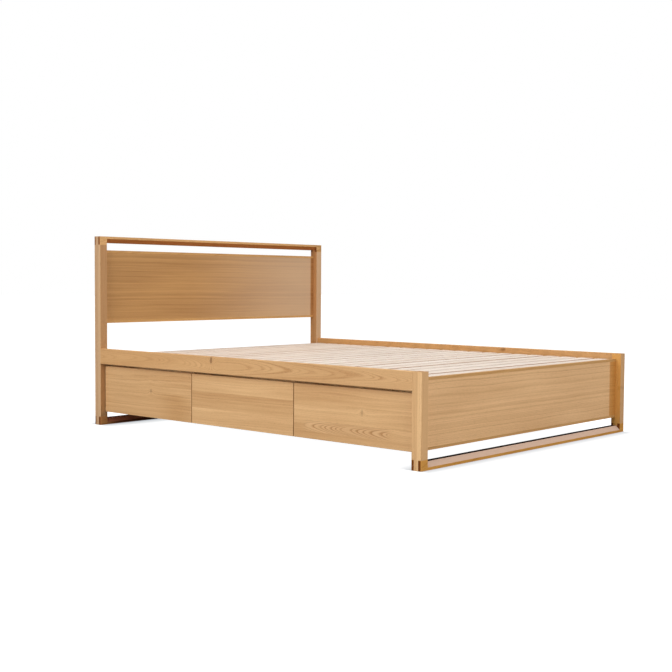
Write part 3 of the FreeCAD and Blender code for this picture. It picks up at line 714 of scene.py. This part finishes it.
# %% [markdown]
# ## Bright zinc
# The hook plates, the catch plates and the screws are steel with a bright zinc coat. Zinc is
# grey-blue with a soft cloudy pattern of crystals, and handled spots dull first. A plain grey
# metal would look like plastic, so the colour and the roughness both follow the same cloud.

# %% Zinc group and material
zinc, given, out = new_group("Zinc Plate", [("Place", VECTOR, (0, 0, 0)), ("Grain Size", NUMBER, 1.0)],
                             [("Color", COLOUR), ("Roughness", NUMBER), ("Relief", NUMBER)])
scaled = add(zinc, "ShaderNodeVectorMath", {0: given["Place"], "Scale": given["Grain Size"]},
             operation="SCALE").outputs[0]
crystals = add(zinc, "ShaderNodeTexVoronoi", {0: scaled, "Scale": 420.0}).outputs["Color"]
crystal = add(zinc, "ShaderNodeSeparateColor", {0: crystals}).outputs[0]
dull = cloud(zinc, scaled, (60, 60, 60), detail=3.0)
scuffs = cloud(zinc, scaled, (90, 90, 2400), detail=1.0)
zinc_depth = times_plus(zinc, crystal, 0.35, times(zinc, dull, 0.5))
give(zinc, out, {"Color": blend(zinc, zinc_depth, shade(214, 217, 221), shade(158, 163, 170)),
                 "Roughness": times_plus(zinc, dull, 0.3, times_plus(zinc, scuffs, 0.12, 0.14)),
                 "Relief": times_plus(zinc, scuffs, 0.5, crystal)})
ZINC_BUMP, ZINC_DEPTH = 0.1, 0.0004


def plated(name, grain_size):
    """Bright zinc on steel."""
    material, tree, shader = new_material(name)
    shader["Metallic"].default_value = 1.0
    place = add(tree, "ShaderNodeTexCoord").outputs["Object"]
    coat = placed(tree, zinc, {"Place": place, "Grain Size": grain_size})
    surface(tree, shader, coat["Color"], coat["Roughness"], coat["Relief"], ZINC_BUMP, ZINC_DEPTH)
    return material


for node in ("rail_hook_plates", "post_catch_plates"):
    dress(node, plated(node + "_zinc", 1.0))
print("plated fittings done")

# %% [markdown]
# ## Slats
# Twenty-one planed pine slats lie across the bed. Planing leaves each edge slightly eased, and a
# countersunk hole near each end lets a screw sit flush. One slat is drawn once as a rounded
# outline, swept along its length, and drilled. It is then set out along the bed. No two slats
# are quite the same, so each also rolls the dice for its place and for how dark the painted
# shadow on its foot-facing edge is.

# %% Sizes of the slats, measured on the frame
SLATS, SLAT_SEED, TONE_SEED, SCREW_SEED = 21, 5, 2522, 9
EASE, END_PLAY, SHAVING = 0.0016, 0.003, 0.001
SCREW_HEAD, SCREW_SHANK, SUNK = 0.008, 0.004, 0.0002
slat_low, slat_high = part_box("slats")
screw_low, screw_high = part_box("slat_screws")
slat_thick = slat_high.z - slat_low.z
first_screw = screw_low + Vector((SCREW_HEAD / 2, SCREW_HEAD / 2, 0))
last_screw = screw_high - Vector((SCREW_HEAD / 2, SCREW_HEAD / 2, 0))
slat_pitch = (last_screw.y - first_screw.y) / (SLATS - 1)
slat_wide = slat_high.y - slat_low.y - slat_pitch * (SLATS - 1)
print("slat", round(slat_wide, 4), "by", round(slat_thick, 4), "every", round(slat_pitch, 4))


# %% Geometry node helpers
def new_shape(name, inputs):
    """An empty geometry tree with named inputs; gives the tree and its two ends."""
    tree = bpy.data.node_groups.new(name, "GeometryNodeTree")
    for label, kind, start in inputs:
        socket = tree.interface.new_socket(name=label, in_out="INPUT", socket_type=kind)
        if start is not None:
            socket.default_value = start
    tree.interface.new_socket(name="Geometry", in_out="OUTPUT", socket_type="NodeSocketGeometry")
    return tree, tree.nodes.new("NodeGroupInput").outputs, tree.nodes.new("NodeGroupOutput").inputs


def vector_of(tree, x=0.0, y=0.0, z=0.0):
    """Three numbers or sockets joined into one vector."""
    return add(tree, "ShaderNodeCombineXYZ", {0: x, 1: y, 2: z}).outputs[0]


def solid_from(tree, name, values):
    """Run a geometry tree once and keep its result as a plain mesh."""
    blank = bpy.data.objects.new(name + "_recipe", bpy.data.meshes.new(name + "_recipe"))
    bpy.context.scene.collection.objects.link(blank)
    recipe = blank.modifiers.new("recipe", "NODES")
    recipe.node_group = tree
    for item in tree.interface.items_tree:
        if item.in_out == "INPUT" and item.name in values:
            recipe[item.identifier] = values[item.name]
    seen = blank.evaluated_get(bpy.context.evaluated_depsgraph_get())
    mesh = bpy.data.meshes.new_from_object(seen)
    blank.modifiers.remove(recipe)
    bpy.data.objects.remove(blank)
    mesh.name = name
    piece = bpy.data.objects.new(name, mesh)
    bpy.context.scene.collection.objects.link(piece)
    return piece


def made(tree, kind, inputs=(), **settings):
    """One geometry node, and its first result."""
    return add(tree, "GeometryNode" + kind, inputs, **settings).outputs[0]


def joined(tree, parts):
    """Several shapes as one."""
    join = add(tree, "GeometryNodeJoinGeometry")
    for part in parts:
        tree.links.new(part, join.inputs[0])
    return join.outputs[0]


def moved_to(tree, shape, place, **more):
    """A shape moved, and turned or scaled where that is given."""
    return made(tree, "Transform", {"Geometry": shape, "Translation": place, **more})


def points_along(tree, given, start):
    """Points along the bed, one for each slat."""
    return made(tree, "MeshLine", {"Count": given["Count"], "Start Location": start,
                                   "Offset": vector_of(tree, 0.0, given["Pitch"], 0.0)}, mode="OFFSET")


def hand_out(tree, shape, material, result):
    """Make every copy real, give it its material and end the tree."""
    real = made(tree, "RealizeInstances", {"Geometry": shape})
    coated = made(tree, "SetMaterial", {"Geometry": real, "Material": material})
    tree.links.new(coated, result[0])


print("shape helpers ready")

# %% Slat recipe: one slat
METRE, WHOLE, STUFF = NUMBER, "NodeSocketInt", "NodeSocketMaterial"
slat, given, result = new_shape("Slat Row", [
    ("Count", WHOLE, 1), ("Pitch", METRE, 0.1), ("Length", METRE, 1.6), ("Width", METRE, 0.07),
    ("Thickness", METRE, 0.018), ("Ease", METRE, 0.001), ("Screw Spread", METRE, 1.5),
    ("Head", METRE, 0.008), ("First", VECTOR, (0, 0, 0)), ("Seed", WHOLE, 0),
    ("Tone Seed", WHOLE, 0), ("Material", STUFF, None)])
outline = made(slat, "CurvePrimitiveQuadrilateral",
               {"Width": given["Width"], "Height": given["Thickness"]})
eased = made(slat, "FilletCurve", {"Curve": outline, "Radius": given["Ease"], "Count": 3}, mode="POLY")
half_long = times(slat, given["Length"], 0.5)
spine_line = made(slat, "CurvePrimitiveLine", {
    "Start": vector_of(slat, times(slat, half_long, -1.0)),
    "End": vector_of(slat, half_long)})
swept = made(slat, "CurveToMesh", {"Curve": spine_line, "Profile Curve": eased, "Fill Caps": True})
half_thick = times(slat, given["Thickness"], 0.5)
SINK_TOP, SINK_FOOT, SINK_DEEP, SINK_LEVEL = 0.62, 0.27, 0.36, -0.345
sink = made(slat, "MeshCone", {
    "Vertices": 24, "Radius Top": times(slat, given["Head"], SINK_TOP),
    "Radius Bottom": times(slat, given["Head"], SINK_FOOT),
    "Depth": times(slat, given["Head"], SINK_DEEP)})
drills = joined(slat, [moved_to(slat, sink, vector_of(
    slat, times(slat, given["Screw Spread"], end), 0.0,
    times_plus(slat, given["Head"], SINK_LEVEL, half_thick))) for end in (-0.5, 0.5)])
drilled = made(slat, "MeshBoolean", {0: swept, 1: drills}, operation="DIFFERENCE", solver="EXACT")
print("one slat is swept and drilled")

# %% Slat recipe: setting them out
JOLT, LIGHTEST_EDGE, DARKEST_EDGE = Vector((0.0012, 0.0004, 0.0)), -0.2, 1.0
marked = made(slat, "StoreNamedAttribute", {
    "Geometry": points_along(slat, given, given["First"]), "Name": "slat_number",
    "Value": made(slat, "InputIndex")}, data_type="FLOAT", domain="POINT")
# Each slat rolls how dark the painted shadow on its foot-facing edge is.
tone_roll = add(slat, "FunctionNodeRandomValue", {
    "Min": LIGHTEST_EDGE, "Max": DARKEST_EDGE, "Seed": given["Tone Seed"]}, data_type="FLOAT")
marked = made(slat, "StoreNamedAttribute", {
    "Geometry": marked, "Name": "edge_tone", "Value": tone_roll.outputs[1]},
    data_type="FLOAT", domain="POINT")
laid = made(slat, "InstanceOnPoints", {"Points": marked, "Instance": drilled})
jolt = add(slat, "FunctionNodeRandomValue", {0: -JOLT, 1: JOLT, "Seed": given["Seed"]},
           data_type="FLOAT_VECTOR").outputs[0]
nudged = made(slat, "TranslateInstances", {"Instances": laid, "Translation": jolt})
hand_out(slat, nudged, given["Material"], result)
print("slat recipe:", len(slat.nodes), "nodes")

# %% [markdown]
# The pine of the slats uses the timber group too. The slat number moves each slat to another part
# of the log, and tints the slats near the head darker. The edge that looks to the foot is painted
# brown as painted shadow, the shadow of the slat in front, and its share of that shadow is the
# number that each slat rolled.

# %% Pine for the slats
SLAT_LOG, NEXT_SLAT, HEAD_TINT_FROM, HEAD_TINT_TO, HEAD_TINT_SHARE = 131.0, 3.7, 5.0, 20.0, 0.35
# The foot-facing edge of each slat is painted brown: painted shadow of the slat in front.
slat_pine = wooden("slat_pine", Lay(slat_low, slat_high, "X", "Y"), dict(PINE, Heart=(0, 0.09, 0.0)),
                   SLAT_LOG, bump=0.12, rub=0.2, faces=[((0, -1, 0), shade(170, 118, 82), "edge_tone")])
tree = slat_pine.node_tree
number = add(tree, "ShaderNodeAttribute", attribute_name="slat_number").outputs["Fac"]
base = tree.nodes["Principled BSDF"].inputs["Base Color"]
# The slats near the head are tinted darker.
head_tint = ramp(tree, number, HEAD_TINT_FROM, HEAD_TINT_TO, 0.0, HEAD_TINT_SHARE)
tree.links.new(blend(tree, head_tint, base.links[0].from_socket, shade(206, 184, 164)), base)
own_log = times_plus(tree, number, NEXT_SLAT, SLAT_LOG)
for group_node in [n for n in tree.nodes if n.type == "GROUP" and n.node_tree == wood]:
    tree.links.new(own_log, group_node.inputs["Seed"])
    group_node.inputs["Board Width"].default_value = slat_pitch
print("slat pine ready")

# %% Lay the slats
slats = solid_from(slat, "slat_row", {
    "Count": SLATS, "Pitch": slat_pitch, "Length": slat_high.x - slat_low.x - END_PLAY,
    "Width": slat_wide - SHAVING, "Thickness": slat_thick, "Ease": EASE,
    "Screw Spread": last_screw.x - first_screw.x, "Head": SCREW_HEAD,
    "First": (0.0, first_screw.y, (slat_low.z + slat_high.z) / 2), "Seed": SLAT_SEED,
    "Tone Seed": TONE_SEED, "Material": slat_pine})
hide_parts("slats")
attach(slats, "frame")
dressed.add("slats")
print("slats:", len(slats.data.polygons), "faces")

# %% [markdown]
# ## Slat screws
# A countersunk screw holds each end of each slat. Its head is a shallow cone with a cross recess
# for the driver, which two thin tapered blades cut out. The finished screw is set out twice along
# the bed, once for each ledger.

# %% Screw recipe
screw, given, result = new_shape("Screw Rows", [
    ("Count", WHOLE, 1), ("Pitch", METRE, 0.1), ("Spread", METRE, 1.5), ("Head", METRE, 0.008),
    ("Shank", METRE, 0.004), ("Length", METRE, 0.035), ("First", VECTOR, (0, 0, 0)),
    ("Seed", WHOLE, 0), ("Material", STUFF, None)])
half_head = times(screw, given["Head"], 0.5)
half_shank = times(screw, given["Shank"], 0.5)
head_deep = minus(screw, half_head, half_shank)
BLADE_TOP, BLADE_FOOT, BLADE_DEEP, BLADE_LEVEL, BLADE_THIN = 0.34, 0.10, 1.2, -0.7, 0.26
SHANK_TOP, SHANK_TIP = 0.92, 0.35
cone = made(screw, "MeshCone", {
    "Vertices": 24, "Radius Top": half_head, "Radius Bottom": half_shank, "Depth": head_deep})
head = moved_to(screw, cone, vector_of(screw, 0, 0, times(screw, head_deep, -1.0)))
blade = made(screw, "MeshCone", {
    "Vertices": 4, "Radius Top": times(screw, given["Head"], BLADE_TOP),
    "Radius Bottom": times(screw, given["Head"], BLADE_FOOT),
    "Depth": times(screw, head_deep, BLADE_DEEP)})
blade_place = vector_of(screw, 0, 0, times(screw, head_deep, BLADE_LEVEL))
blades = joined(screw, [moved_to(screw, blade, blade_place, Scale=(1.0, BLADE_THIN, 1.0),
                                 Rotation=(0.0, 0.0, turn)) for turn in (0.0, math.pi / 2)])
crossed = made(screw, "MeshBoolean", {0: head, 1: blades}, operation="DIFFERENCE", solver="EXACT")
shank = made(screw, "MeshCone", {
    "Vertices": 12, "Radius Top": times(screw, half_shank, SHANK_TOP),
    "Radius Bottom": times(screw, half_shank, SHANK_TIP),
    "Depth": minus(screw, given["Length"], head_deep)})
shank = moved_to(screw, shank, vector_of(screw, 0, 0, times(screw, given["Length"], -1.0)))
fastener = joined(screw, [crossed, shank])
rows = joined(screw, [points_along(screw, given, vector_sum(
    screw, "ADD", given["First"], vector_of(screw, times(screw, given["Spread"], ledger))))
    for ledger in (0.0, 1.0)])
driven = add(screw, "FunctionNodeRandomValue", {
    0: (0, 0, 0), 1: (0, 0, math.pi), "Seed": given["Seed"]}, data_type="FLOAT_VECTOR").outputs[0]
set_out = made(screw, "InstanceOnPoints", {"Points": rows, "Instance": fastener, "Rotation": driven})
hand_out(screw, set_out, given["Material"], result)
print("screw recipe:", len(screw.nodes), "nodes")

# %% Drive the screws
screws = solid_from(screw, "slat_screw_rows", {
    "Count": SLATS, "Pitch": slat_pitch, "Spread": last_screw.x - first_screw.x, "Head": SCREW_HEAD,
    "Shank": SCREW_SHANK, "Length": screw_high.z - screw_low.z - 2 * SUNK,
    "First": (first_screw.x, first_screw.y, screw_high.z - SUNK), "Seed": SCREW_SEED,
    "Material": plated("screw_zinc", 2.0)})
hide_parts("slat_screws")
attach(screws, "frame")
dressed.add("slat_screws")
bare = sorted(set(frame["nodes"]) - dressed)
print("screws:", len(screws.data.polygons), "faces; pieces still bare:", bare)

# %% [markdown]
# ## Studio
# The bed stands on a seamless pale floor in soft, bright light. The floor glows to the eye, as a
# light table does, so the shadow under the bed stays faint. Round each floor rail the glow dims a
# little and turns bluish: a painted contact shadow, the thin dark line where a heavy thing touches
# the ground.

# %% Floor
FLOOR, FLOOR_DROP = 40.0, -0.0005
floor_mesh = bpy.data.meshes.new("studio_floor")
floor_mesh.from_pydata([(x * FLOOR, y * FLOOR, FLOOR_DROP) for x, y in ((-1, -1), (1, -1), (1, 1), (-1, 1))],
                       [], [(0, 1, 2, 3)])
floor = bpy.data.objects.new("studio_floor", floor_mesh)
bpy.context.scene.collection.objects.link(floor)
print("floor", FLOOR * 2, "m across")

# %% Floor paper
CONTACT_REACH, CONTACT_TONE, SIDEWAYS = 0.12, 0.56, (20, 1, 1)
paper, sheet, shader = new_material("studio_paper")
ground = add(sheet, "ShaderNodeTexCoord").outputs["Object"]
mottle = cloud(sheet, ground, (3, 3, 3))
# Painted contact shadow: round each floor rail the floor's colour and glow are dimmed and turned bluish.
painted_contact_shadow = 1.0
for node in ("foot_floor_rail", "head_floor_rail"):
    low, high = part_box(node)
    centre, half = (low + high) / 2, (high - low) / 2
    away = vector_sum(sheet, "SUBTRACT", ground, (centre.x, centre.y, 0))
    away = vector_sum(sheet, "SUBTRACT", vector_sum(sheet, "ABSOLUTE", away), (half.x, half.y, 1))
    away = vector_sum(sheet, "MULTIPLY", vector_sum(sheet, "MAXIMUM", away, (0, 0, 0)), SIDEWAYS)
    away = add(sheet, "ShaderNodeVectorMath", {0: away}, operation="LENGTH").outputs["Value"]
    shadow_by_rail = add(sheet, "ShaderNodeMapRange",
                    {0: away, 1: 0.0, 2: CONTACT_REACH, 3: CONTACT_TONE, 4: 1.0}).outputs[0]
    painted_contact_shadow = times(sheet, painted_contact_shadow, shadow_by_rail)
paper_tone = blend(sheet, mottle, (0.36, 0.36, 0.37, 1), (0.39, 0.39, 0.40, 1))
shader["Roughness"].default_value = 0.8
shader["Specular IOR Level"].default_value = 0.1
seen = add(sheet, "ShaderNodeLightPath").outputs["Is Camera Ray"]
give(sheet, shader, {"Base Color": blend(sheet, painted_contact_shadow, (0, 0, 0, 1), paper_tone),
                     "Emission Color": blend(sheet, painted_contact_shadow, (0.84, 0.93, 1.0, 1), (0.99, 0.995, 1.0, 1)),
                     "Emission Strength": times(sheet, seen, painted_contact_shadow)})
floor_mesh.materials.append(paper)
print("floor paper:", len(sheet.nodes), "nodes")

# %% [markdown]
# The sky is white where the eye sees it and much dimmer as a light, so it only fills the shadows.
# Five square lamps do the rest: a big window on the left, weaker ones in front, on the right and
# behind, and a ceiling light. They are large, because small ones would draw hard shadows.

# %% Sky
SKY_AS_LIGHT = 0.24
scene = bpy.context.scene
scene.view_settings.view_transform = "Standard"
scene.view_settings.look = "None"
scene.world = bpy.data.worlds.new("studio")
scene.world.use_nodes = True
air = scene.world.node_tree
background = air.nodes["Background"]
background.inputs["Color"].default_value = (1, 1, 1, 1)
direct = add(air, "ShaderNodeLightPath").outputs["Is Camera Ray"]
brightness = add(air, "ShaderNodeMapRange", {0: direct, 1: 0.0, 2: 1.0, 3: SKY_AS_LIGHT, 4: 1.0})
air.links.new(brightness.outputs[0], background.inputs["Strength"])
print("sky ready")

# %% Lamps
LAMPS = {  # place, aim, side in metres, power in watts, tint
    "window_left": ((-5.5, -0.1, 2.6), (0, 0, 0.3), 4.0, 204, (1.0, 0.99, 0.97)),
    "window_front": ((-1.5, -6.0, 2.4), (0, 0, 0.3), 4.0, 135, (1.0, 0.98, 0.95)),
    "window_right": ((5.0, -4.5, 2.2), (0.4, 1.0, 0.6), 3.0, 70, (1.0, 0.98, 0.95)),
    "ceiling": ((0.5, 0.0, 5.0), (0, 0, 0.3), 4.5, 190, (1.0, 1.0, 1.0)),
    "window_back": ((1.0, 6.5, 1.3), (0, 1.0, 0.6), 3.0, 70, (1.0, 0.98, 0.95)),
}
for name, (place, aim, wide, power, tint) in LAMPS.items():
    light = bpy.data.lights.new(name, "AREA")
    light.shape, light.size, light.energy, light.color = "SQUARE", wide, power, tint
    lamp = bpy.data.objects.new(name, light)
    lamp.location = place
    lamp.rotation_euler = (Vector(aim) - Vector(place)).to_track_quat("-Z", "Y").to_euler()
    scene.collection.objects.link(lamp)
print("lamps:", len(LAMPS))

# %% [markdown]
# ## Done
# The bed is dressed, and its studio is built round it.

# %% Finish
print("the bed is dressed and the studio is built")
